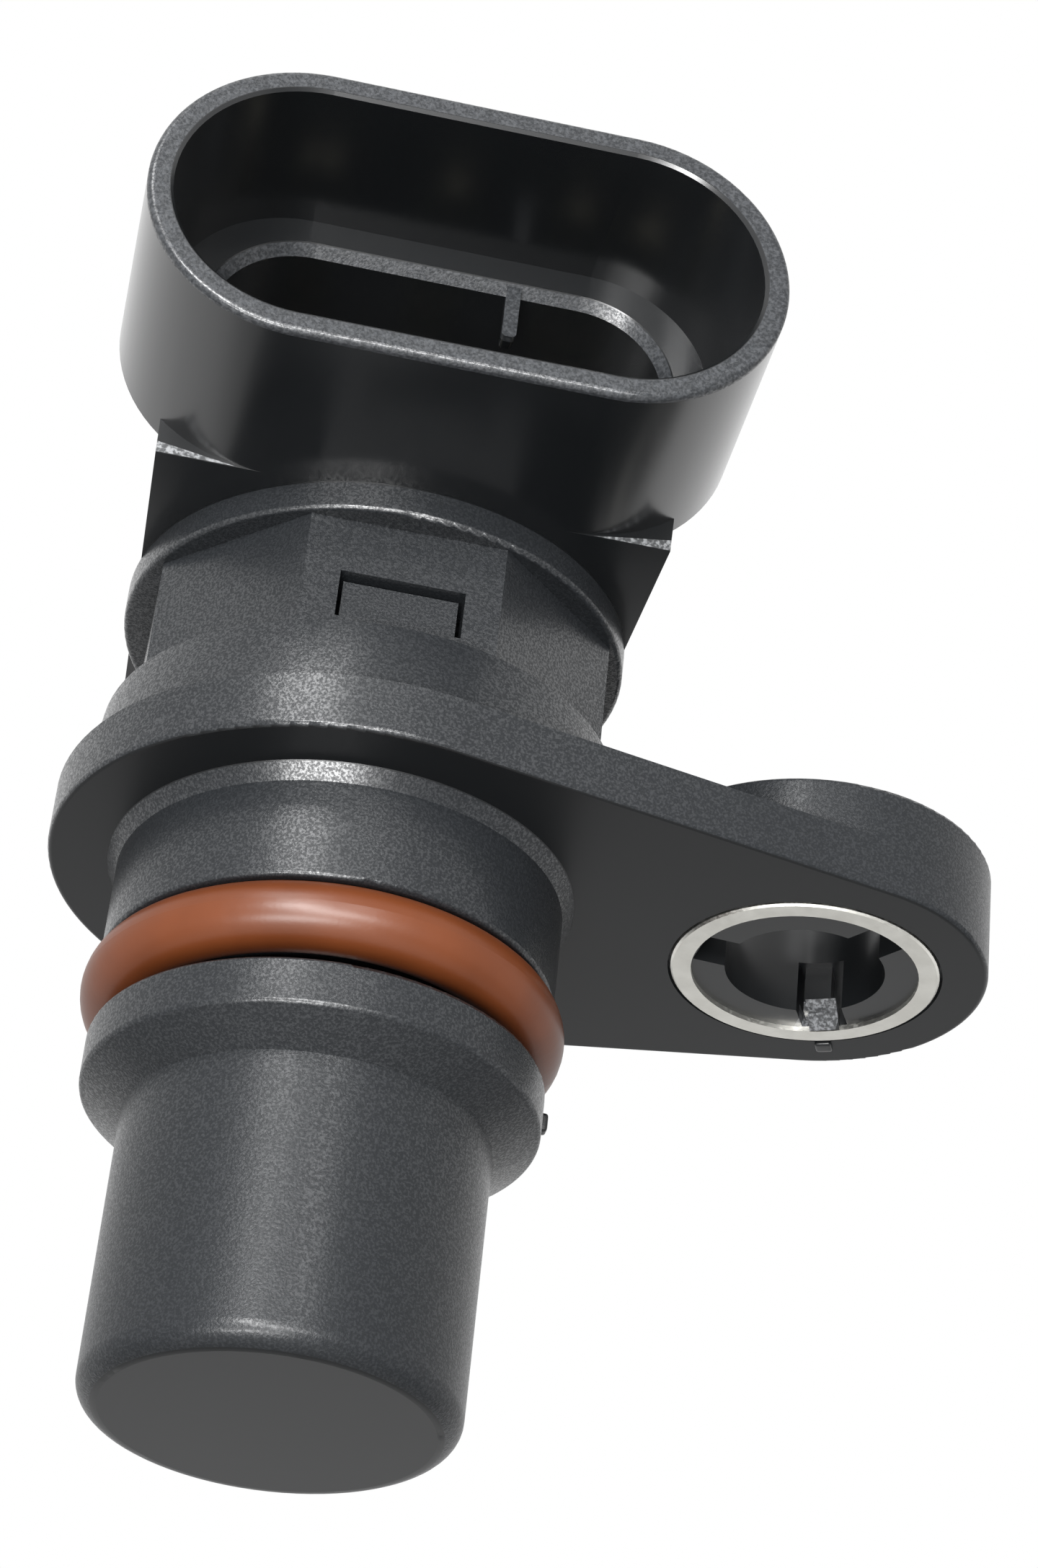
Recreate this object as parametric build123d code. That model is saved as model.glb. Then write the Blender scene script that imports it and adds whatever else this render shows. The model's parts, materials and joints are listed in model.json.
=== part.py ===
from build123d import *
import math
import os

os.makedirs("parts", exist_ok=True)

# Camshaft position sensor, in millimetres.
# +Z runs from the sensing tip up to the connector, -Y is the way the connector mouth faces,
# +X points at the bolt ear. The origin is on the spigot axis, on the flange's mounting face.

# Driving sizes of the lower moulding
flange_r = 11.8
flange_t = 2.35
ear_x = 19.15
ear_r = 7.4
boss_top = 4.7
spigot_r = 8.95
spigot_len = 4.85
root_r = 9.4
root_len = 0.65
groove_w = 3.5
collar_r = 8.95
collar_t = 1.9
lead_len = 1.1
tip_r = 7.2
tip_z = -23.05
tip_round = 0.9
edge_round = 0.2
floor_t = 1.2
bore_r = 5.3

# O-ring in the groove
ring_section_r = 1.35
ring_squash = 0.1
ring_stand = 0.55

# Octagonal neck and the flare under it
neck_top = 11.2
neck_front = 9.3
neck_side = 9.25
facet_half = 3.95
flare_top = 5.75
flare_r = 10.5
flare_foot_r = 10.9
neck_bore_r = 7.6
neck_bore_z = 1.0
window_w = 5.0
window_low = 6.6
window_high = 8.75
window_gap = 0.2
nub_in = 0.45

# Upper moulding: disc, skirt, block and connector tube
disc_r = 10.4
disc_t = 1.3
skirt_gap = 0.3
skirt_wall = 1.3
seal_t = 1.2
tube_half = 6.12
tube_r = 6.53
tube_wall = 1.0
mouth_y = -18.62
block_front = -9.55
block_back = 8.8
block_half = 10.4
block_back_half = 9.75
block_top = 24.0
block_corner = 1.6
block_crown = 3.0
block_lean = 0.3
rim_round = 0.25
rim_in = 0.12
ledge_y = -11.1
foot_half = 5.8
foot_r = 5.35
pocket_half = 5.5
pocket_r = 3.8
pocket_lead = 0.45
pocket_floor_y = -4.0
key_x = 2.75
key_t = 0.6
key_h = 2.3
key_len = 0.8
key_back = 0.1
core_w = 7.4
core_h = 6.4
core_depth = 2.6
core_gap = 1.6
core_low = 1.8

# Bush and bolt retainer in the ear
bush_r = 5.45
bush_bore_r = 4.62
bush_proud = 0.08
seat_relief = 0.12
seat_relief_depth = 0.4
bolt_hole_r = 3.25
retainer_in = 0.12
slot_w = 1.9
slot_turn = 64.5
slot_count = 3
slot_depth = 2.4
slot_skin = 0.15
finger_w = 1.1
finger_turn = 67.5
foot_w = 1.25
foot_rise = 0.75
finger_in = 0.1
finger_back = 0.3

# Terminals
blade_w = 2.0
blade_t = 0.7
blade_pitch = 5.4
blade_tip_y = -9.3
blade_point = 0.6
leg_w = 1.6
leg_pitch = 2.6
leg_low = -4.0
bend_r = 0.9
jog_high = 15.9
jog_low = 13.6

# Sensing stack and its carrier
carrier_gap = 0.3
carrier_top = 0.7
tongue_w = 6.0
tongue_t = 2.4
tongue_back = 2.9
board_w = 7.6
board_t = 1.0
board_low = -15.5
board_top = -1.0
board_back = -1.0
chip_w = 4.0
chip_d = 3.2
chip_t = 1.5
lead_w = 0.4
lead_pitch = 1.27
lead_top = -13.5
plate_w = 4.6
plate_t = 0.6
magnet_t = 4.0
cap_w = 2.0
cap_h = 1.25
cap_t = 1.0
cap_z = (-7.2, -9.6)
res_w = 1.6
res_h = 0.8
res_t = 0.5
res_z = -11.6
potting_low = 8.6

# Levels and fits that follow from the sizes above
groove_top = -spigot_len
groove_low = groove_top - groove_w
collar_low = groove_low - collar_t
lead_low = collar_low - lead_len
groove_r = spigot_r + ring_stand - 2.0 * ring_section_r + ring_squash
cup_floor = tip_z + floor_t
disc_top = neck_top + disc_t
skirt_r = neck_bore_r - skirt_gap
skirt_in = skirt_r - skirt_wall
skirt_low = neck_bore_z + seal_t
board_front = board_back - board_t
leg_back = board_front
leg_front = leg_back - blade_t
tube_z = disc_top + tube_r
cavity_r = tube_r - tube_wall
carrier_r = bore_r - carrier_gap


def drum(radius, low, high, x=0.0, y=0.0):
    """Upright cylinder between two levels."""
    return Pos(x, y, (low + high) / 2) * Cylinder(radius, high - low)


def block_of(x0, x1, y0, y1, z0, z1):
    """Box given by its two corners."""
    return Pos((x0 + x1) / 2, (y0 + y1) / 2, (z0 + z1) / 2) * Box(x1 - x0, y1 - y0, z1 - z0)


def stadium(half, radius, front, back):
    """Prism along Y with a long-hole section, ends centred at x = +half and -half."""
    section = Plane((0, back, tube_z), x_dir=(1, 0, 0), z_dir=(0, -1, 0)) * SlotCenterToCenter(
        2.0 * half, 2.0 * radius
    )
    return extrude(section, back - front)


def turned(points):
    """Solid of revolution about Z from points (radius, level)."""
    return revolve(Plane.XZ * make_face(Polyline(*points, close=True)), Axis.Z)


def edges_on_circle(shape, radius, level, x=0.0):
    """Edges that lie on one horizontal circle about (x, 0)."""
    found = []
    for edge in shape.edges().filter_by(GeomType.CIRCLE):
        centre = edge.arc_center
        near = abs(centre.X - x) < 0.01 and abs(centre.Y) < 0.01 and abs(centre.Z - level) < 0.01
        if near and abs(edge.radius - radius) < 0.01:
            found.append(edge)
    return found


# Spigot, groove, collar, lead-in cone and tip, turned in one profile
def spigot_body():
    body = turned([
        (0.0, flange_t / 2),
        (root_r, flange_t / 2),
        (root_r, 0.0),
        (spigot_r, -root_len),
        (spigot_r, groove_top),
        (groove_r, groove_top),
        (groove_r, groove_low),
        (collar_r, groove_low),
        (collar_r, collar_low),
        (tip_r, lead_low),
        (tip_r, tip_z),
        (0.0, tip_z),
    ])
    body = fillet(edges_on_circle(body, tip_r, tip_z), tip_round)
    rims = edges_on_circle(body, collar_r, groove_low) + edges_on_circle(body, collar_r, collar_low)
    return fillet(rims + edges_on_circle(body, spigot_r, groove_top), edge_round)


# Flange plate: a circle about the axis and a circle about the bolt, joined by their tangents
def flange_plate():
    lean = math.asin((flange_r - ear_r) / ear_x)
    near_x = flange_r * math.sin(lean)
    near_y = flange_r * math.cos(lean)
    far_x = ear_x + ear_r * math.sin(lean)
    far_y = ear_r * math.cos(lean)
    web = make_face(Polyline((near_x, -near_y), (far_x, -far_y), (far_x, far_y), (near_x, near_y), close=True))
    outline = Circle(flange_r) + web + Pos(ear_x, 0) * Circle(ear_r)
    plate = extrude(outline, flange_t)
    plate = fillet([e for e in plate.edges() if abs(e.center().Z) < 0.01], edge_round)
    boss = drum(ear_r, flange_t / 2, boss_top, ear_x)
    return plate + fillet(edges_on_circle(boss, ear_r, boss_top, ear_x), edge_round)


# Neck: eight flats standing on a conical flare
def neck_body():
    side = neck_front - (neck_side - facet_half)
    outline = make_face(Polyline(
        (-facet_half, -neck_front),
        (facet_half, -neck_front),
        (neck_side, -side),
        (neck_side, side),
        (facet_half, neck_front),
        (-facet_half, neck_front),
        (-neck_side, side),
        (-neck_side, -side),
        close=True,
    ))
    neck = Pos(0, 0, flange_t) * extrude(outline, neck_top - flange_t)
    flare = turned([
        (0.0, flange_t / 2),
        (flare_foot_r, flange_t / 2),
        (flare_foot_r, flange_t),
        (flare_r, flare_top),
        (0.0, flare_top),
    ])
    return neck + flare


def window_cut(side):
    """Latch window in the front (side = -1) or back (side = 1) flat of the neck."""
    half = window_w / 2
    ends = sorted((side * neck_bore_r / 2, side * (neck_front + 1.0)))
    return block_of(-half, half, ends[0], ends[1], window_low, window_high)


def housing_cup():
    body = spigot_body() + flange_plate() + neck_body()
    body -= drum(bore_r, cup_floor, neck_top + 1.0)
    body -= drum(neck_bore_r, neck_bore_z, neck_top + 1.0)
    body -= drum(bush_r, -1.0, boss_top + 1.0, ear_x)
    body -= drum(bush_r + seat_relief, -1.0, seat_relief_depth, ear_x)
    return body - window_cut(-1) - window_cut(1)


def o_ring():
    """Ring whose inner side is flattened against the groove."""
    middle_r = groove_r + ring_section_r - ring_squash
    level = groove_top - ring_section_r
    ring = Pos(0, 0, level) * Torus(middle_r, ring_section_r)
    return ring - drum(groove_r, level - 2.0 * ring_section_r, level + 2.0 * ring_section_r)


def mounting_bush():
    bush = drum(bush_r, -bush_proud, boss_top + bush_proud, ear_x)
    bush = chamfer(bush.edges().filter_by(GeomType.CIRCLE), bush_proud)
    return bush - drum(bush_bore_r, -1.0, boss_top + 1.0, ear_x)


def slot_box(width, inner, outer, low, high, turn):
    """Radial box about the bolt axis, turned by an angle from +X."""
    box = Pos((inner + outer) / 2, 0, (low + high) / 2) * Box(outer - inner, width, high - low)
    return Pos(ear_x, 0, 0) * Rot(0, 0, turn) * box


def bolt_retainer():
    """Plastic sleeve in the bush with three notches, one of which holds a finger."""
    sleeve = drum(bush_bore_r, retainer_in, boss_top - retainer_in, ear_x)
    sleeve -= drum(bolt_hole_r, -1.0, boss_top + 1.0, ear_x)
    for n in range(slot_count):
        turn = slot_turn + n * 360.0 / slot_count
        outer = bush_bore_r - slot_skin
        sleeve -= slot_box(slot_w, bolt_hole_r / 2, outer, -1.0, slot_depth, turn)
    inner = bolt_hole_r + finger_in
    outer = bush_bore_r - finger_in
    finger = slot_box(finger_w, inner + finger_back, outer, foot_rise / 2, slot_depth, finger_turn)
    wedge = make_face(Polyline((inner, foot_rise), (outer, -bush_proud), (outer, foot_rise), close=True))
    foot = extrude(Plane.XZ * wedge, foot_w / 2, both=True)
    return sleeve + finger + Pos(ear_x, 0, 0) * Rot(0, 0, slot_turn) * foot


def latch_nub(side):
    """Nub on the skirt that snaps into a neck window."""
    half = window_w / 2 - window_gap
    ends = sorted((side * (skirt_in + skirt_wall / 2), side * (neck_front - nub_in)))
    return block_of(-half, half, ends[0], ends[1], window_low + window_gap, window_high - window_gap)


def skirt():
    ring = drum(skirt_r, skirt_low, neck_top + disc_t / 2) - drum(skirt_in, 0.0, neck_top)
    return ring + latch_nub(-1) + latch_nub(1)


def block_plan(level, lean):
    """Plan of the block at a level, narrower at the back, with its sides moved out by the lean."""
    outline = Polyline(
        (-block_half - lean, block_front),
        (block_half + lean, block_front),
        (block_back_half + lean, block_back),
        (-block_back_half - lean, block_back),
        close=True,
    )
    return Pos(0, 0, level) * make_face(outline)


def connector_block():
    """Box behind the tube: its sides lean out as they rise, and its rear top edge is cut off."""
    low = disc_top - disc_t / 2
    block = loft([block_plan(low, 0.0), block_plan(block_top, block_lean)], ruled=True)
    profile = make_face(Polyline(
        (block_front - 1.0, low),
        (block_back, low),
        (block_back, block_top - block_crown),
        (block_back - block_crown, block_top),
        (block_front - 1.0, block_top),
        close=True,
    ))
    block = block & extrude(Plane.YZ * profile, disc_r * 2, both=True)
    back = [e for e in block.edges() if e.center().Y > block_back - 0.01 and abs(e.center().X) > disc_r / 2]
    block = fillet(back, block_corner)
    return block - block_of(-2 * disc_r, 2 * disc_r, -2 * disc_r, 2 * disc_r, 0.0, disc_top)


def core_pockets():
    """Two blind pockets in the block's back face."""
    cut = None
    for side in (-1, 1):
        middle = side * (core_w + core_gap) / 2
        low = disc_top + core_low
        box = block_of(
            middle - core_w / 2, middle + core_w / 2, block_back - core_depth, block_back + 1.0, low, low + core_h
        )
        box = fillet(box.edges().filter_by(Axis.Y), 3.0 * edge_round)
        cut = box if cut is None else cut + box
    return cut


def connector_tube():
    tube = stadium(tube_half, tube_r, mouth_y, block_front + tube_wall)
    mouth = [e for e in tube.edges() if abs(e.center().Y - mouth_y) < 0.01]
    return fillet(mouth, rim_round)


def tapered_slot(front, front_half, front_r, back, back_half, back_r):
    """Long hole along -Y whose section changes evenly from its front to its back."""
    faces = []
    for level, half, radius in ((back, back_half, back_r), (front, front_half, front_r)):
        plane = Plane((0, level, tube_z), x_dir=(1, 0, 0), z_dir=(0, -1, 0))
        faces.append(plane * SlotCenterToCenter(2.0 * half, 2.0 * radius))
    return loft(faces, ruled=True)


def mouth_cut():
    """Tapered cavity down to the ledge, then the pocket with a sloped lead-in round its mouth."""
    cut = stadium(tube_half, cavity_r + rim_in, mouth_y - 1.0, mouth_y)
    cut += tapered_slot(mouth_y, tube_half, cavity_r + rim_in, mouth_y + rim_in, tube_half, cavity_r)
    cut += tapered_slot(mouth_y + rim_in, tube_half, cavity_r, ledge_y, foot_half, foot_r)
    cut += tapered_slot(
        ledge_y, pocket_half, pocket_r + pocket_lead, ledge_y + pocket_lead, pocket_half, pocket_r
    )
    return cut + stadium(pocket_half, pocket_r, ledge_y + pocket_lead / 2, pocket_floor_y)


def key_rib():
    """Short rib with a rounded foot, hanging from the pocket's upper side behind the lead-in."""
    front = ledge_y + key_back
    high = tube_z + pocket_r
    half = key_t / 2
    rib = block_of(key_x - half, key_x + half, front, front + key_len, high - key_h, high + half)
    foot = [e for e in rib.edges().filter_by(Axis.Y) if e.center().Z < high - key_h / 2]
    return fillet(foot, key_t / 3)


# Insert-moulded terminals: a blade in the pocket, a bend, and a leg down to the board
def terminal(place):
    blade_x = place * blade_pitch
    leg_x = place * leg_pitch
    half_t = blade_t / 2
    blade = block_of(
        blade_x - blade_w / 2, blade_x + blade_w / 2, blade_tip_y, leg_back, tube_z - half_t, tube_z + half_t
    )
    tip = [e for e in blade.edges().filter_by(Axis.Z) if e.center().Y < blade_tip_y + 0.01]
    blade = chamfer(tip, blade_point)
    half_b = blade_w / 2
    half_l = leg_w / 2
    top = tube_z + half_t
    outline = make_face(Polyline(
        (blade_x - half_b, top),
        (blade_x - half_b, jog_high),
        (leg_x - half_l, jog_low),
        (leg_x - half_l, leg_low),
        (leg_x + half_l, leg_low),
        (leg_x + half_l, jog_low),
        (blade_x + half_b, jog_high),
        (blade_x + half_b, top),
        close=True,
    ))
    leg = extrude(Plane((0, leg_back, 0), x_dir=(1, 0, 0), z_dir=(0, -1, 0)) * outline, blade_t)
    bent = blade + leg
    heel = [
        e
        for e in bent.edges().filter_by(Axis.X)
        if abs(e.center().Y - leg_back) < 0.01 and abs(e.center().Z - top) < 0.01
    ]
    return fillet(heel, bend_r)


def connector_cap():
    body = drum(disc_r, neck_top, disc_top)
    body = fillet(edges_on_circle(body, disc_r, neck_top), edge_round)
    body += connector_block() + connector_tube() + skirt()
    body -= mouth_cut()
    body -= core_pockets()
    body += key_rib()
    for place in (-1, 0, 1):
        body -= terminal(place)
    return body


def terminal_seal():
    body = drum(skirt_in, potting_low, neck_top)
    for place in (-1, 0, 1):
        body -= terminal(place)
    return body


def inner_seal():
    return drum(neck_bore_r, neck_bore_z, skirt_low) - drum(skirt_in, 0.0, neck_top)


def hall_chip():
    return block_of(-chip_w / 2, chip_w / 2, -chip_d / 2, chip_d / 2, cup_floor, cup_floor + chip_t)


def flux_plate():
    low = cup_floor + chip_t
    return block_of(-plate_w / 2, plate_w / 2, -chip_d / 2, chip_d / 2, low, low + plate_t)


def bias_magnet():
    low = cup_floor + chip_t + plate_t
    return block_of(-plate_w / 2, plate_w / 2, -chip_d / 2, chip_d / 2, low, low + magnet_t)


def chip_lead(place):
    """Lead out of the chip's front side and up onto the board."""
    x = place * lead_pitch
    level = cup_floor + chip_t / 2
    foot = block_of(
        x - lead_w / 2, x + lead_w / 2, board_front - lead_w, -chip_d / 2, level - lead_w / 2, level + lead_w / 2
    )
    return foot + block_of(
        x - lead_w / 2, x + lead_w / 2, board_front - lead_w, board_front, level - lead_w / 2, lead_top
    )


def sensor_carrier():
    """Half-round post with a flat for the board and a tongue up to the potting."""
    post = drum(carrier_r, cup_floor, carrier_top)
    post -= block_of(-2 * carrier_r, 2 * carrier_r, -2 * carrier_r, board_back, 2 * cup_floor, neck_top)
    tongue = block_of(
        -tongue_w / 2, tongue_w / 2, tongue_back - tongue_t, tongue_back, carrier_top - 1.0, potting_low
    )
    return post + tongue - hall_chip() - flux_plate() - bias_magnet()


def circuit_board():
    return block_of(-board_w / 2, board_w / 2, board_front, board_back, board_low, board_top)


def board_part(width, height, thick, level):
    """Small part standing on the board's front face."""
    return block_of(
        -width / 2, width / 2, board_front - thick, board_front, level - height / 2, level + height / 2
    )


pieces = {
    "housing_cup": housing_cup(),
    "connector_cap": connector_cap(),
    "o_ring": o_ring(),
    "mounting_bush": mounting_bush(),
    "bolt_retainer": bolt_retainer(),
    "terminal_signal": terminal(0),
    "terminal_supply": terminal(-1),
    "terminal_ground": terminal(1),
    "terminal_seal": terminal_seal(),
    "inner_seal": inner_seal(),
    "sensor_carrier": sensor_carrier(),
    "circuit_board": circuit_board(),
    "hall_chip": hall_chip(),
    "chip_lead_1": chip_lead(-1),
    "chip_lead_2": chip_lead(0),
    "chip_lead_3": chip_lead(1),
    "bias_magnet": bias_magnet(),
    "flux_plate": flux_plate(),
    "capacitor_1": board_part(cap_w, cap_h, cap_t, cap_z[0]),
    "capacitor_2": board_part(cap_w, cap_h, cap_t, cap_z[1]),
    "resistor": board_part(res_w, res_h, res_t, res_z),
}

for name, piece in pieces.items():
    export_step(piece, f"parts/{name}.step")
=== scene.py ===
# %% [markdown]
# A camshaft position sensor is a moulded cup with a sensing tip, an O-ring and a bolt
# flange, closed by a second moulding that carries the plug socket. The solids of all its
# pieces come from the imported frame, in metres. This lesson dresses them: it places the
# camera and the lights, builds the finishes from procedural nodes, and adds the small
# moulding marks that are too fine for the construction model.

# %% Load the frame
import json
from math import cos, radians, sin

import bpy
import numpy as np
from mathutils import Matrix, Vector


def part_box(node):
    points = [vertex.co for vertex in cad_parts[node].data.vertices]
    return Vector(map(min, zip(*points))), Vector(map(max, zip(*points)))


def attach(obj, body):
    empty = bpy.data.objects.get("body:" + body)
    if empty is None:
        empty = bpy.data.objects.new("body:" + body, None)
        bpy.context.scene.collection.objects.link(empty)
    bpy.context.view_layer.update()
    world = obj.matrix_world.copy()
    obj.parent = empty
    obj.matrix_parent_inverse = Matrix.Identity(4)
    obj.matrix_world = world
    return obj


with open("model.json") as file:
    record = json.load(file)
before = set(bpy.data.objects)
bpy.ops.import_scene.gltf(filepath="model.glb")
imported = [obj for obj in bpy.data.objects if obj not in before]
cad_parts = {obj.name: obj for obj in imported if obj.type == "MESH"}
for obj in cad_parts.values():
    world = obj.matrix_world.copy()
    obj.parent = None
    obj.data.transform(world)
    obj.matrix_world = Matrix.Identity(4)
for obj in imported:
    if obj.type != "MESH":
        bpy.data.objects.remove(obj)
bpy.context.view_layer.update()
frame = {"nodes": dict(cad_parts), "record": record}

nodes = frame["nodes"]
mm = 0.001
print("pieces in the frame:", len(nodes))

# %% [markdown]
# The photograph is taken from below and in front, a little to the left of the plug socket,
# with the frame tilted. A camera is easiest to read as a point to aim at, two angles, a
# distance and a roll, so the three axes of the camera are worked out from those with
# cross products, instead of pasting a matrix.

# %% The camera
aim_point = np.array([6.19, -3.62, 4.14]) * mm
view_distance = 152.0 * mm
heading = radians(7.833)
climb = radians(32.699)
roll = radians(6.277)
lens_mm = 87.37
sensor_mm = 36.0

forward = np.array([cos(climb) * sin(heading), cos(climb) * cos(heading), sin(climb)])
level_right = np.cross(forward, [0.0, 0.0, 1.0])
level_right /= np.linalg.norm(level_right)
level_up = np.cross(level_right, forward)
right = cos(roll) * level_right + sin(roll) * level_up
up = np.cross(right, forward)
camera_place = aim_point - view_distance * forward

camera_data = bpy.data.cameras.new("camera")
camera_data.lens = lens_mm
camera_data.sensor_width = sensor_mm
camera_data.clip_start = 0.01
camera_data.clip_end = 20.0
camera = bpy.data.objects.new("camera", camera_data)
camera_frame = np.eye(4)
camera_frame[:3, 0] = right
camera_frame[:3, 1] = up
camera_frame[:3, 2] = -forward
camera_frame[:3, 3] = camera_place
bpy.context.scene.collection.objects.link(camera)
camera.matrix_world = Matrix(camera_frame.tolist())
bpy.context.scene.camera = camera
bpy.context.scene.view_settings.view_transform = "Standard"
print("camera at", np.round(camera_place, 4))

# %% [markdown]
# Dark plastic shows its form through what it reflects. The room is white for the camera
# and for reflections, which gives the white background and the pale edges of the plug
# socket, but it lights the surfaces at a lower, plain level. A Light Path node tells the
# two kinds of ray apart.

# %% The room
room_level = 0.2
backdrop_level = 1.0


def light_path_mask(tree):
    """Mask that is 1 for rays from the camera, reflections and refractions."""
    path = tree.nodes.new("ShaderNodeLightPath")
    first = tree.nodes.new("ShaderNodeMath")
    first.operation = "MAXIMUM"
    second = tree.nodes.new("ShaderNodeMath")
    second.operation = "MAXIMUM"
    tree.links.new(path.outputs["Is Camera Ray"], first.inputs[0])
    tree.links.new(path.outputs["Is Glossy Ray"], first.inputs[1])
    tree.links.new(first.outputs[0], second.inputs[0])
    tree.links.new(path.outputs["Is Transmission Ray"], second.inputs[1])
    return second.outputs[0]


world = bpy.data.worlds.new("room")
bpy.context.scene.world = world
world.use_nodes = True
tree = world.node_tree
tree.nodes.clear()
dim_sky = tree.nodes.new("ShaderNodeBackground")
dim_sky.inputs["Strength"].default_value = room_level
white_sky = tree.nodes.new("ShaderNodeBackground")
white_sky.inputs["Strength"].default_value = backdrop_level
for sky in (dim_sky, white_sky):
    sky.inputs["Color"].default_value = (1.0, 1.0, 1.0, 1.0)
pick_sky = tree.nodes.new("ShaderNodeMixShader")
tree.links.new(light_path_mask(tree), pick_sky.inputs[0])
tree.links.new(dim_sky.outputs[0], pick_sky.inputs[1])
tree.links.new(white_sky.outputs[0], pick_sky.inputs[2])
tree.links.new(pick_sky.outputs[0], tree.nodes.new("ShaderNodeOutputWorld").inputs["Surface"])
print("room level", room_level)

# %% [markdown]
# A floor lies well below the part, because the camera looks up at it. It is a plain disc,
# made from one ring of points, so its edge is round in every view.

# %% The floor
floor_level = -0.40
floor_radius = 0.7
floor_corners = 96


def mesh_object(name, points, faces, smooth=True):
    """Object at the origin from an array of points and a list of faces."""
    mesh = bpy.data.meshes.new(name)
    mesh.from_pydata(points.tolist(), [], faces)
    mesh.polygons.foreach_set("use_smooth", np.full(len(mesh.polygons), smooth))
    mesh.update()
    piece = bpy.data.objects.new(name, mesh)
    bpy.context.scene.collection.objects.link(piece)
    return piece


turn = np.linspace(0.0, 2.0 * np.pi, floor_corners, endpoint=False)
level = np.full(floor_corners, floor_level)
floor_points = np.stack([floor_radius * np.cos(turn), floor_radius * np.sin(turn), level], 1)
floor = mesh_object("floor", floor_points, [list(range(floor_corners))], smooth=False)
floor_paint = bpy.data.materials.new("floor_paint")
floor_paint.use_nodes = True
floor_paint.node_tree.nodes["Principled BSDF"].inputs["Base Color"].default_value = (0.8, 0.8, 0.8, 1.0)
floor_paint.node_tree.nodes["Principled BSDF"].inputs["Roughness"].default_value = 0.9
floor.data.materials.append(floor_paint)
print("floor at", floor_level)

# %% [markdown]
# Five soft boxes shape the plastic. The front box lies level and wide, and lights whatever
# faces the viewer. The key beside it is narrow, so it draws one crisp upright highlight on
# the tip, the spigot and the neck. The fill stands a little higher, where the neck's flat
# front mirrors part of it. The upper box lifts the left side, and the low one puts a bright
# line on the edges and cones that face down and forward. Each is given by two angles on a
# sphere about the part, which is how a photographer would move it.

# %% The lamps
lamp_distance = 0.50


def soft_box(name, azimuth, elevation, width, height, power):
    """Area lamp on a sphere about the part, facing its middle; azimuth 0 is in front."""
    turn = radians(azimuth)
    rise = radians(elevation)
    away = np.array([cos(rise) * sin(turn), -cos(rise) * cos(turn), sin(rise)])
    data = bpy.data.lights.new(name, "AREA")
    data.shape = "RECTANGLE"
    data.size = width
    data.size_y = height
    data.energy = power
    lamp = bpy.data.objects.new(name, data)
    bpy.context.scene.collection.objects.link(lamp)
    side = np.cross([0.0, 0.0, 1.0], away)
    side /= np.linalg.norm(side)
    turned = np.eye(4)
    turned[:3, 0] = side
    turned[:3, 1] = np.cross(away, side)
    turned[:3, 2] = away
    turned[:3, 3] = lamp_distance * away
    lamp.matrix_world = Matrix(turned.tolist())
    return lamp


lamps = [
    soft_box("front", azimuth=-6.0, elevation=-10.0, width=0.28, height=0.12, power=3.0),
    soft_box("key", azimuth=-22.0, elevation=5.0, width=0.12, height=0.14, power=2.7),
    soft_box("fill", azimuth=5.0, elevation=17.0, width=0.12, height=0.06, power=0.5),
    soft_box("upper", azimuth=-28.0, elevation=38.0, width=0.18, height=0.12, power=0.9),
    soft_box("low", azimuth=-22.0, elevation=-36.0, width=0.28, height=0.06, power=2.8),
]
print("lamps:", [lamp.name for lamp in lamps])

# %% [markdown]
# The mouldings are glass-filled nylon. Where the mould was spark-eroded, short fibres and
# grain break the highlight into fine bright flecks, less than a tenth of a millimetre
# across, over a slow mottle. Real displacement would need millions of faces for that, and a
# picture would show seams, so both patterns are noise on Object coordinates. Every finish
# needs them, so they live in one node group that puts out masks and a height.

# %% The grain group
plastic_fleck_scale = 9500.0
plastic_mottle_scale = 450.0
fleck_limits = (0.42, 0.66)
mottle_limits = (0.3, 0.7)


def new_group(name, inputs, outputs):
    """Empty shader group with float inputs and the named outputs."""
    group = bpy.data.node_groups.new(name, "ShaderNodeTree")
    for label, value in inputs:
        socket = group.interface.new_socket(name=label, in_out="INPUT", socket_type="NodeSocketFloat")
        socket.default_value = value
    for label in outputs:
        group.interface.new_socket(name=label, in_out="OUTPUT", socket_type="NodeSocketFloat")
    return group, group.nodes.new("NodeGroupInput"), group.nodes.new("NodeGroupOutput")


def noise_node(group, coordinates, scale_socket, detail, roughness):
    """Noise on the given coordinates, scaled by a group input."""
    noise = group.nodes.new("ShaderNodeTexNoise")
    noise.inputs["Detail"].default_value = detail
    noise.inputs["Roughness"].default_value = roughness
    group.links.new(coordinates, noise.inputs["Vector"])
    group.links.new(scale_socket, noise.inputs["Scale"])
    return noise.outputs["Fac"]


def ramp_node(group, value, low, high):
    """Values from low to high spread to 0 to 1, with soft ends."""
    ramp = group.nodes.new("ShaderNodeMapRange")
    ramp.interpolation_type = "SMOOTHSTEP"
    ramp.inputs["From Min"].default_value = low
    ramp.inputs["From Max"].default_value = high
    group.links.new(value, ramp.inputs["Value"])
    return ramp.outputs["Result"]


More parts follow.
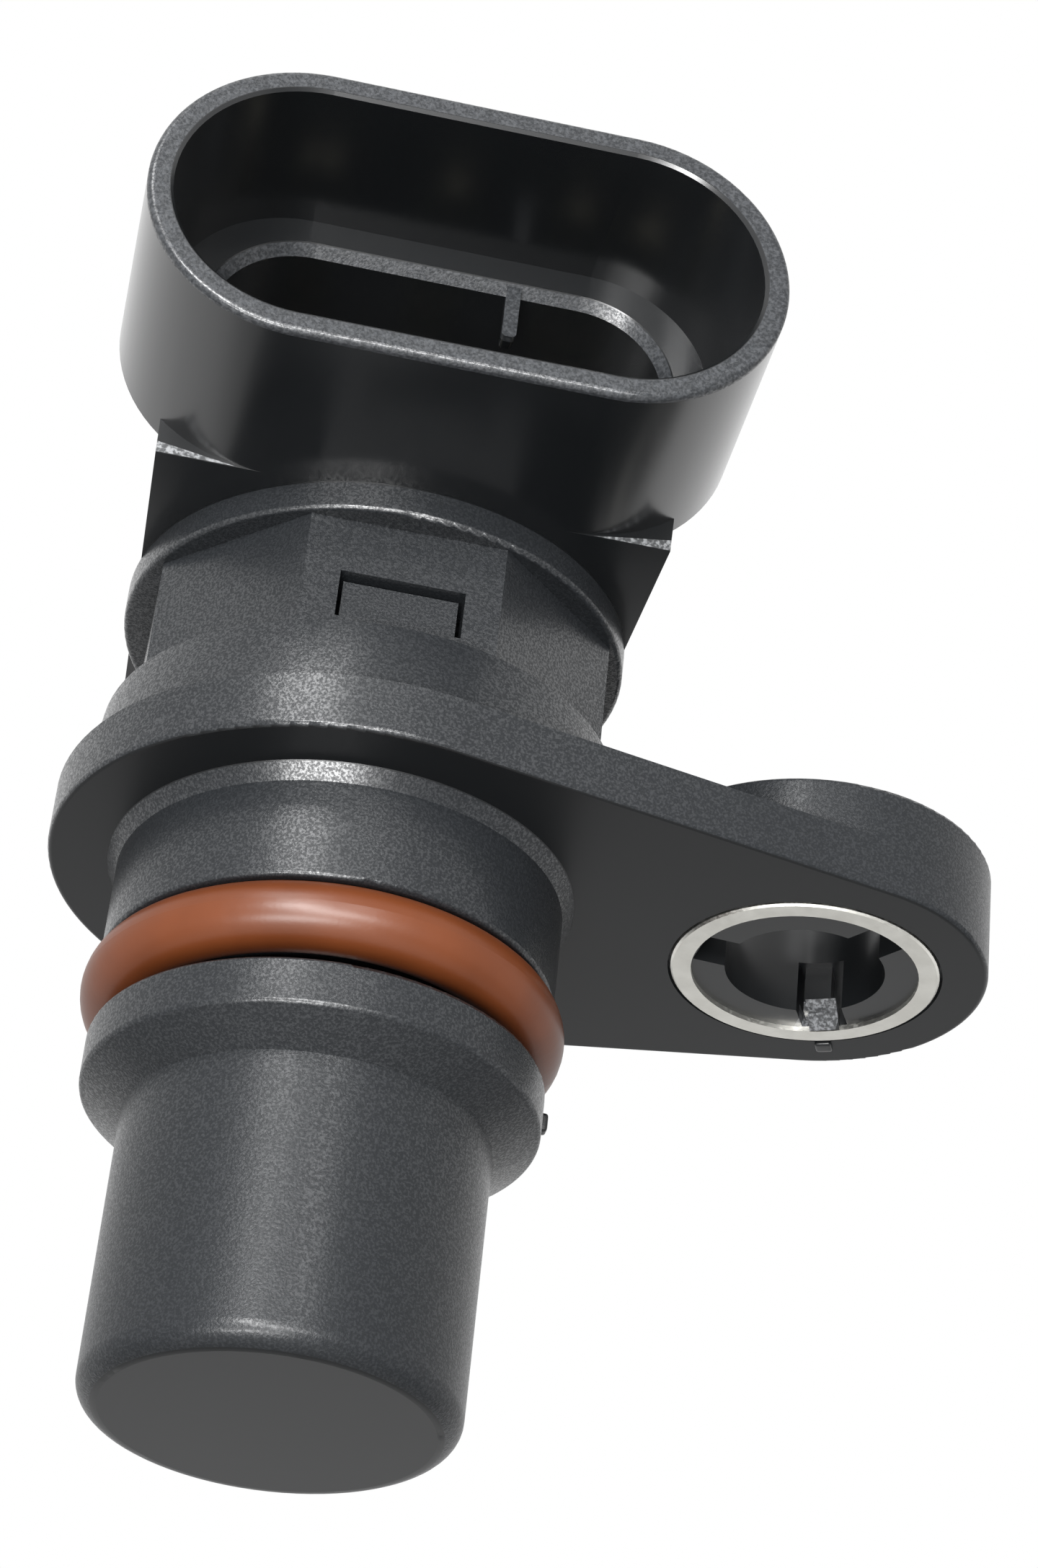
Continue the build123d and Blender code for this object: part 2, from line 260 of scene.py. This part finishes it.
grain_scales = [("Fleck Scale", plastic_fleck_scale), ("Mottle Scale", plastic_mottle_scale)]
grain, grain_in, grain_out = new_group("moulded_grain", grain_scales, ["Fleck", "Mottle", "Height"])
place = grain.nodes.new("ShaderNodeTexCoord").outputs["Object"]
fleck = noise_node(grain, place, grain_in.outputs["Fleck Scale"], 2.0, 0.6)
mottle = noise_node(grain, place, grain_in.outputs["Mottle Scale"], 3.0, 0.5)
grain.links.new(ramp_node(grain, fleck, *fleck_limits), grain_out.inputs["Fleck"])
grain.links.new(ramp_node(grain, mottle, *mottle_limits), grain_out.inputs["Mottle"])
grain.links.new(fleck, grain_out.inputs["Height"])
print("grain outputs:", [o.name for o in grain_out.inputs if o.name])

# %% [markdown]
# A mould is polished in some places and grained in others, and the border follows the
# shape. So a second group turns Object coordinates into simple facts about a point: its
# place across the part, its depth along the socket, its height, and how far it lies from
# the long slot on which the oval socket is drawn. That distance is the length of what is
# left when the slot's half length is taken off the sideways offset, down to nothing.

# %% The place group
socket_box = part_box("connector_cap")
mouth_y = socket_box[0][1]
slot_half = 5.5 * mm
tube_radius = 6.53 * mm
disc_top = 12.5 * mm


def math_node(tree, kind, first, second=None, third=None):
    """Math node; each input is a socket or a number."""
    node = tree.nodes.new("ShaderNodeMath")
    node.operation = kind
    for socket, value in zip(node.inputs, (first, second, third)):
        if value is None:
            continue
        if isinstance(value, (int, float)):
            socket.default_value = value
        else:
            tree.links.new(value, socket)
    return node.outputs[0]


slot_shape = [("Slot Half", slot_half), ("Slot Level", disc_top + tube_radius)]
facts = ["Across", "Depth", "Height", "From Slot"]
spot, spot_in, spot_out = new_group("place_on_part", slot_shape, facts)
split = spot.nodes.new("ShaderNodeSeparateXYZ")
spot.links.new(spot.nodes.new("ShaderNodeTexCoord").outputs["Object"], split.inputs[0])
sideways = math_node(spot, "ABSOLUTE", split.outputs["X"])
beyond = math_node(spot, "SUBTRACT", sideways, spot_in.outputs["Slot Half"])
beyond = math_node(spot, "MAXIMUM", beyond, 0.0)
above = math_node(spot, "SUBTRACT", split.outputs["Z"], spot_in.outputs["Slot Level"])
squares = math_node(spot, "MULTIPLY_ADD", above, above, math_node(spot, "MULTIPLY", beyond, beyond))
spot.links.new(math_node(spot, "SQRT", squares), spot_out.inputs["From Slot"])
for axis, fact in zip("XYZ", facts):
    spot.links.new(split.outputs[axis], spot_out.inputs[fact])
print("place outputs:", [o.name for o in spot_out.inputs if o.name])

# %% [markdown]
# Each finish is a material with its own Principled shader. Small helpers start it, place a
# group in it, and join a mask to a colour or a number.

# %% Helpers for the finishes


def new_finish(name, roughness, metallic=0.0, specular=0.5):
    """Material with a Principled shader, and its tree and shader for further links."""
    finish = bpy.data.materials.new(name)
    finish.use_nodes = True
    shader = finish.node_tree.nodes["Principled BSDF"]
    shader.inputs["Roughness"].default_value = roughness
    shader.inputs["Metallic"].default_value = metallic
    shader.inputs["Specular IOR Level"].default_value = specular
    return finish, finish.node_tree, shader


def place_group(tree, group, **values):
    """Group node in a material, with its inputs set by name."""
    node = tree.nodes.new("ShaderNodeGroup")
    node.node_tree = group
    for label, value in values.items():
        node.inputs[label.replace("_", " ")].default_value = value
    return node


def blend_colour(tree, mask, dark, light):
    """Colour that runs from dark to light with a mask; each is three numbers or a socket."""
    mix = tree.nodes.new("ShaderNodeMix")
    mix.data_type = "RGBA"
    for label, colour in (("A", dark), ("B", light)):
        if isinstance(colour, tuple):
            mix.inputs[label].default_value = (*colour, 1.0)
        else:
            tree.links.new(colour, mix.inputs[label])
    tree.links.new(mask, mix.inputs["Factor"])
    return mix.outputs["Result"]


def between(tree, value, here, there):
    """Number that runs between two results while the value runs between two limits."""
    ramp = tree.nodes.new("ShaderNodeMapRange")
    for label, number in zip(("From Min", "From Max", "To Min", "To Max"), (*here, *there)):
        ramp.inputs[label].default_value = number
    tree.links.new(value, ramp.inputs["Value"])
    return ramp.outputs["Result"]


def spread(tree, mask, low, high):
    """Number that runs from low to high with a mask."""
    return between(tree, mask, (0.0, 1.0), (low, high))


def within(tree, value, low, high):
    """Mask that is 1 where a value lies between two limits."""
    return math_node(tree, "COMPARE", value, (low + high) / 2.0, (high - low) / 2.0)


def choose(tree, mask, where_zero, where_one):
    """The first value where the mask is 0 and the second where it is 1."""
    rest = math_node(tree, "SUBTRACT", 1.0, mask)
    first = math_node(tree, "MULTIPLY", rest, where_zero)
    return math_node(tree, "MULTIPLY_ADD", mask, where_one, first)


def bump(tree, height, distance, strength=1.0):
    """Normal bent by a height, whose full rise is the distance in metres."""
    node = tree.nodes.new("ShaderNodeBump")
    node.inputs["Distance"].default_value = distance
    node.inputs["Strength"].default_value = strength
    tree.links.new(height, node.inputs["Height"])
    return node.outputs["Normal"]


print("helpers ready")

# %% [markdown]
# The plastic is almost black. What the eye sees is its shine. On grained places the grain
# tilts the surface to and fro, so the highlight breaks up, while the places in shade stay
# even. That takes a tight shine with a strong bump, rather than a rough shine. Over it lies
# a thin glossy skin, which Coat Weight carries: it is thickest at the flecks, weak on the
# tip and the bolt ear, and stronger on the neck and the disc. Places without grain are not
# bumped, and where they are polished the skin is nearly whole, so those faces show black
# with clean pale edges. On a few places, larger pale flecks are painted glints and highlights.

# %% The moulded plastic
skin_roughness = 0.26
grained_roughness = 0.34
plain_black = (0.003, 0.0035, 0.004)
fleck_light = (0.013, 0.0143, 0.016)
between_flecks = 0.6
plastic_shine = 0.17
# The larger flecks set by the next two numbers are painted glints and highlights.
painted_fleck_scale = 6000.0
painted_fleck_floor = 0.2
skin_heights = (-22.0 * mm, 12.0 * mm)
skin_by_height = (0.24, 1.25)
ear_span = (5.0 * mm, 16.0 * mm)
skin_towards_ear = (1.0, 0.35)
skin_floor = 0.2
grain_depth = 0.019 * mm


def grained_skin(tree, at, fleck):
    """Weight of the grained places' skin: more from tip to disc and at flecks, less on the ear."""
    rising = between(tree, at.outputs["Height"], skin_heights, skin_by_height)
    fading = between(tree, at.outputs["Across"], ear_span, skin_towards_ear)
    weight = math_node(tree, "MULTIPLY", rising, fading)
    return math_node(tree, "MULTIPLY", weight, math_node(tree, "ADD", fleck, skin_floor))


def painted_light_flecks(tree, colour, where, light):
    """The colour with larger pale flecks laid over it where the mask is 1: painted glints and highlights.
    """
    marks = place_group(tree, grain, Fleck_Scale=painted_fleck_scale)
    flecks = math_node(tree, "MULTIPLY", spread(tree, marks.outputs["Fleck"], painted_fleck_floor, 1.0), where)
    return blend_colour(tree, flecks, colour, light)


def moulded_plastic(name, plain, grained, painted_light_places):
    """Black nylon. The plain places have a roughness and a skin, one function gives the mask
    of the grained places, and each place of painted light is a pair: the function for its
    mask and the colour of its painted glint or highlight flecks.
    """
    plain_roughness, plain_skin = plain
    finish, tree, shader = new_finish(name, plain_roughness, specular=plastic_shine)
    marks = place_group(tree, grain)
    at = place_group(tree, spot)
    where = grained(tree, at)
    tone = math_node(tree, "MULTIPLY", spread(tree, marks.outputs["Fleck"], between_flecks, 1.0), where)
    colour = blend_colour(tree, tone, plain_black, fleck_light)
    # Each pair lays painted glints or a painted highlight over the colour.
    for painted_mask, light in painted_light_places:
        colour = painted_light_flecks(tree, colour, painted_mask(tree, at), light)
    tree.links.new(colour, shader.inputs["Base Color"])
    tree.links.new(choose(tree, where, plain_roughness, grained_roughness), shader.inputs["Roughness"])
    shader.inputs["Coat Roughness"].default_value = skin_roughness
    skin = choose(tree, where, plain_skin, grained_skin(tree, at, marks.outputs["Fleck"]))
    tree.links.new(math_node(tree, "MINIMUM", skin, 1.0), shader.inputs["Coat Weight"])
    height = math_node(tree, "MULTIPLY", marks.outputs["Height"], where)
    tree.links.new(bump(tree, height, grain_depth), shader.inputs["Normal"])
    return finish


# %% [markdown]
# The lower moulding is grained all over, apart from its end face and the flange's
# underside, which were cut smooth. The upper one is polished, apart from its disc, the
# socket's rim and the sloped lip round the pocket; on the rim and the lip, larger pale flecks
# are painted glints. A thin sliver at each lower corner of the block carries a painted
# highlight along its edge, and so does the foot of the retainer's finger.

# %% Where each moulding is grained
tip_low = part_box("housing_cup")[0][2]
face_slack = 0.04 * mm
rim_depth = 0.35 * mm
rim_slot_half = socket_box[1][0] - tube_radius
rim_span = (5.68 * mm, 7.0 * mm)
ledge_y = -11.1 * mm
lip_depth = 0.45 * mm
lip_reach = 4.3 * mm
sliver_start = 7.0 * mm
sliver_slope = 0.16
sliver_depth = (-9.9 * mm, -8.0 * mm)
foot_across = (19.9 * mm, 21.5 * mm)
foot_depth = (2.7 * mm, 4.6 * mm)
foot_height = (-0.4 * mm, 0.8 * mm)
out_of_reach = (1.0, 1.1)


def nowhere(tree, at):
    """A mask that is 0 all over: heights in metres that no point reaches."""
    return within(tree, at.outputs["Height"], *out_of_reach)


def cup_grain(tree, at):
    """Everywhere but the end face and the underside at height 0."""
    end_face = within(tree, at.outputs["Height"], tip_low - face_slack, tip_low + face_slack)
    underside = within(tree, at.outputs["Height"], -face_slack, face_slack)
    return math_node(tree, "SUBTRACT", 1.0, math_node(tree, "MAXIMUM", end_face, underside))


# Over the rim and the lip, larger pale flecks are painted glints; the same mask also marks them grained.
def rim_and_lip(tree, at):
    """The rim at the mouth without its inner edge, and the lip behind the ledge."""
    rim = within(tree, at.outputs["Depth"], mouth_y - face_slack, mouth_y + rim_depth)
    outwards = place_group(tree, spot, Slot_Half=rim_slot_half).outputs["From Slot"]
    rim = math_node(tree, "MULTIPLY", rim, within(tree, outwards, *rim_span))
    lip = within(tree, at.outputs["Depth"], ledge_y + face_slack, ledge_y + lip_depth)
    near = within(tree, at.outputs["From Slot"], 0.0, lip_reach)
    return math_node(tree, "MAXIMUM", rim, math_node(tree, "MULTIPLY", lip, near))


def cap_grain(tree, at):
    """The disc below the block, with the rim and the lip."""
    disc = within(tree, at.outputs["Height"], 0.0, disc_top - face_slack)
    return math_node(tree, "MAXIMUM", disc, rim_and_lip(tree, at))


# This sliver is a painted highlight: the bright line a rounded lower edge would catch.
def lit_corner(tree, at):
    """A sliver along the block's lower front edge, taller towards its outer corner."""
    outwards = math_node(tree, "SUBTRACT", math_node(tree, "ABSOLUTE", at.outputs["Across"]), sliver_start)
    limit = math_node(tree, "MULTIPLY_ADD", outwards, sliver_slope, disc_top)
    low = math_node(tree, "LESS_THAN", at.outputs["Height"], limit)
    above = math_node(tree, "GREATER_THAN", at.outputs["Height"], disc_top + face_slack)
    front = within(tree, at.outputs["Depth"], *sliver_depth)
    return math_node(tree, "MULTIPLY", math_node(tree, "MULTIPLY", low, above), front)


# The foot's face is lightened as a painted highlight.
def finger_foot(tree, at):
    """The foot of the retainer's finger: a small box in all three directions."""
    mask = within(tree, at.outputs["Across"], *foot_across)
    mask = math_node(tree, "MULTIPLY", mask, within(tree, at.outputs["Depth"], *foot_depth))
    return math_node(tree, "MULTIPLY", mask, within(tree, at.outputs["Height"], *foot_height))


print("rim's slot half length:", round(rim_slot_half / mm, 2), "mm")

# %% [markdown]
# Now the three plastics can be made. Each has its own plain finish, a pair of roughness and
# skin: the cup's cut faces are dull, the cap is polished, and the retainer lies between.
# The painted light differs in how pale its flecks are, from the glints on the rim and the lip,
# which are only a little paler than the grain, to the highlight on the block's corners, the palest.

# %% The three plastics
cut_plain = (0.45, 0.28)
cap_plain = (0.22, 0.95)
retainer_plain = (0.38, 0.6)
# The next three colours are painted light: glints on the rim and the lip, and highlights on the finger's
# foot and the block's corners.
painted_glint_edge = (0.032, 0.034, 0.037)
painted_highlight_foot = (0.13, 0.134, 0.14)
painted_highlight_corner = (0.20, 0.205, 0.21)
cap_painted_light = [(rim_and_lip, painted_glint_edge), (lit_corner, painted_highlight_corner)]
retainer_painted_light = [(finger_foot, painted_highlight_foot)]

cup_plastic = moulded_plastic("cup_plastic", cut_plain, cup_grain, [])
cap_plastic = moulded_plastic("cap_plastic", cap_plain, cap_grain, cap_painted_light)
retainer_plastic = moulded_plastic("retainer_plastic", retainer_plain, nowhere, retainer_painted_light)
print("plastics:", cup_plastic.name, cap_plastic.name, retainer_plastic.name)

# %% [markdown]
# The ring is rust-brown silicone with a soft broad shine. The bush is bright plated steel
# and the terminals are tinned. A single roughness would make such small pieces look
# painted, so both metals get a fine uneven lustre from the same grain group, through
# Roughness and a very shallow bump.

# %% Rubber and metals


def ring_rubber():
    """Rust-brown silicone rubber: smooth, with a soft broad shine."""
    finish, tree, shader = new_finish("ring_rubber", 0.36, specular=0.35)
    marks = place_group(tree, grain, Fleck_Scale=5000.0, Mottle_Scale=260.0)
    colour = blend_colour(tree, marks.outputs["Mottle"], (0.070, 0.0175, 0.0045), (0.086, 0.022, 0.006))
    tree.links.new(colour, shader.inputs["Base Color"])
    tree.links.new(bump(tree, marks.outputs["Height"], 0.003 * mm), shader.inputs["Normal"])
    return finish


def lustre_metal(name, dark, light, low, high):
    """Metal of two close shades whose roughness wavers between two values."""
    finish, tree, shader = new_finish(name, (low + high) / 2.0, metallic=1.0)
    marks = place_group(tree, grain, Fleck_Scale=6000.0, Mottle_Scale=900.0)
    tree.links.new(blend_colour(tree, marks.outputs["Mottle"], dark, light), shader.inputs["Base Color"])
    tree.links.new(spread(tree, marks.outputs["Fleck"], low, high), shader.inputs["Roughness"])
    tree.links.new(bump(tree, marks.outputs["Height"], 0.002 * mm), shader.inputs["Normal"])
    return finish


bush_steel = lustre_metal("bush_steel", (0.70, 0.69, 0.64), (0.78, 0.77, 0.72), 0.30, 0.42)
tinned_metal = lustre_metal("tinned_metal", (0.62, 0.57, 0.44), (0.74, 0.70, 0.58), 0.30, 0.40)
print("metals:", bush_steel.name, tinned_metal.name)

# %% [markdown]
# The sealed pieces inside never show in this view, but they are dressed too, so that a
# section through the sensor reads well. Each is two close shades under a faint grain.

# %% The inner pieces and who wears what


def plain_finish(name, dark, light, roughness):
    """Moulded or cast inner piece: two close shades under a faint grain."""
    finish, tree, shader = new_finish(name, roughness)
    marks = place_group(tree, grain, Fleck_Scale=8000.0, Mottle_Scale=700.0)
    tree.links.new(blend_colour(tree, marks.outputs["Mottle"], dark, light), shader.inputs["Base Color"])
    tree.links.new(bump(tree, marks.outputs["Height"], 0.004 * mm), shader.inputs["Normal"])
    return finish


finishes = {
    "black_plastic": cup_plastic,
    "brown_rubber": ring_rubber(),
    "bright_steel": bush_steel,
    "tinned_brass": tinned_metal,
    "potting_resin": plain_finish("potting_resin", (0.015, 0.015, 0.016), (0.03, 0.03, 0.032), 0.25),
    "black_rubber": plain_finish("black_rubber", (0.015, 0.015, 0.015), (0.03, 0.03, 0.03), 0.6),
    "carrier_plastic": plain_finish("carrier_plastic", (0.08, 0.08, 0.08), (0.12, 0.12, 0.12), 0.5),
    "board_laminate": plain_finish("board_laminate", (0.02, 0.12, 0.05), (0.03, 0.17, 0.07), 0.4),
    "chip_body": plain_finish("chip_body", (0.02, 0.02, 0.02), (0.04, 0.04, 0.04), 0.5),
    "magnet_metal": plain_finish("magnet_metal", (0.15, 0.15, 0.15), (0.25, 0.25, 0.25), 0.4),
    "ceramic_part": plain_finish("ceramic_part", (0.40, 0.27, 0.13), (0.50, 0.34, 0.18), 0.5),
}
own_finish = {"connector_cap": cap_plastic, "bolt_retainer": retainer_plastic}
slot_of = {row["node"]: row["material_slot"] for row in frame["record"]["subparts"]}


def wear_finish(piece, finish):
    """Gives a piece its finish, in place of the material it came with."""
    piece.data.materials.clear()
    piece.data.materials.append(finish)


for name, node in nodes.items():
    wear_finish(node, own_finish.get(name, finishes[slot_of[name]]))
print("dressed pieces:", len(nodes))

# %% [markdown]
# Two small marks of the mould are too fine for the construction model. One is a black gate
# stub on the collar's right, and the other a low lug on the ear's underside beside the
# bush. Both are rounded blocks. A cube with bevels would do, but one formula gives the whole
# form: a ball whose three axes are pressed towards a box by raising each part of its
# direction to a small power.

# %% Gate stub and lug
lump_rings = 20
lump_corners = 28
box_power = 0.35


def signed_power(values, power):
    """Each value's size raised to a power, with its sign kept."""
    return np.sign(values) * np.abs(values) ** power


def rounded_block(name, centre, half_sizes, angle):
    """Ball pressed towards a box, turned by an angle about Z.

    A point at latitude t and longitude u lies at half size times cos t cos u along the
    first axis, cos t sin u along the second and sin t along the third, where each sine and
    cosine is first raised to the box power. The two poles are single points.
    """
    latitude = np.linspace(-np.pi / 2, np.pi / 2, lump_rings + 2)[1:-1, None]
    longitude = np.linspace(0.0, 2.0 * np.pi, lump_corners, endpoint=False)[None, :]
    across = signed_power(np.cos(latitude), box_power)
    flat_x = across * signed_power(np.cos(longitude), box_power)
    flat_y = across * signed_power(np.sin(longitude), box_power)
    flat_z = signed_power(np.sin(latitude), box_power) + 0.0 * longitude
    local = np.stack([flat_x, flat_y, flat_z], 2).reshape(-1, 3)
    local = np.vstack([local, [0.0, 0.0, -1.0], [0.0, 0.0, 1.0]]) * half_sizes
    spin = np.array([[cos(angle), sin(angle), 0.0], [-sin(angle), cos(angle), 0.0], [0.0, 0.0, 1.0]])
    grid = np.arange(lump_rings * lump_corners).reshape(lump_rings, lump_corners)
    ahead = np.roll(grid, -1, axis=1)
    sides = np.stack([grid[:-1], ahead[:-1], ahead[1:], grid[1:]], 2).reshape(-1, 4)
    low_pole = lump_rings * lump_corners
    low_fan = np.stack([ahead[0], grid[0], np.full(lump_corners, low_pole)], 1)
    high_fan = np.stack([grid[-1], ahead[-1], np.full(lump_corners, low_pole + 1)], 1)
    faces = sides.tolist() + low_fan.tolist() + high_fan.tolist()
    return mesh_object(name, local @ spin + centre, faces)


mounts = {mount["name"]: mount for mount in frame["record"]["mounts"]}
collar_radius = mounts["pilot_collar"]["dims"]["r_mm"] * mm
stub_level = -8.85 * mm
stub_half = np.array([0.30, 0.28, 0.39]) * mm
stub = rounded_block("gate_stub", np.array([collar_radius, 0.0, stub_level]), stub_half, 0.0)

bolt_x = mounts["bolt_hole"]["pos_m"][0]
lug_angle = radians(67.5)
lug_reach = 5.95 * mm
lug_half = np.array([0.35, 0.35, 0.14]) * mm
lug_place = np.array([bolt_x + lug_reach * cos(lug_angle), lug_reach * sin(lug_angle), 0.0])
lug = rounded_block("ear_lug", lug_place, lug_half, lug_angle)
for mark in (stub, lug):
    wear_finish(mark, retainer_plastic)
    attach(mark, "root")
print("moulding marks:", stub.name, lug.name)
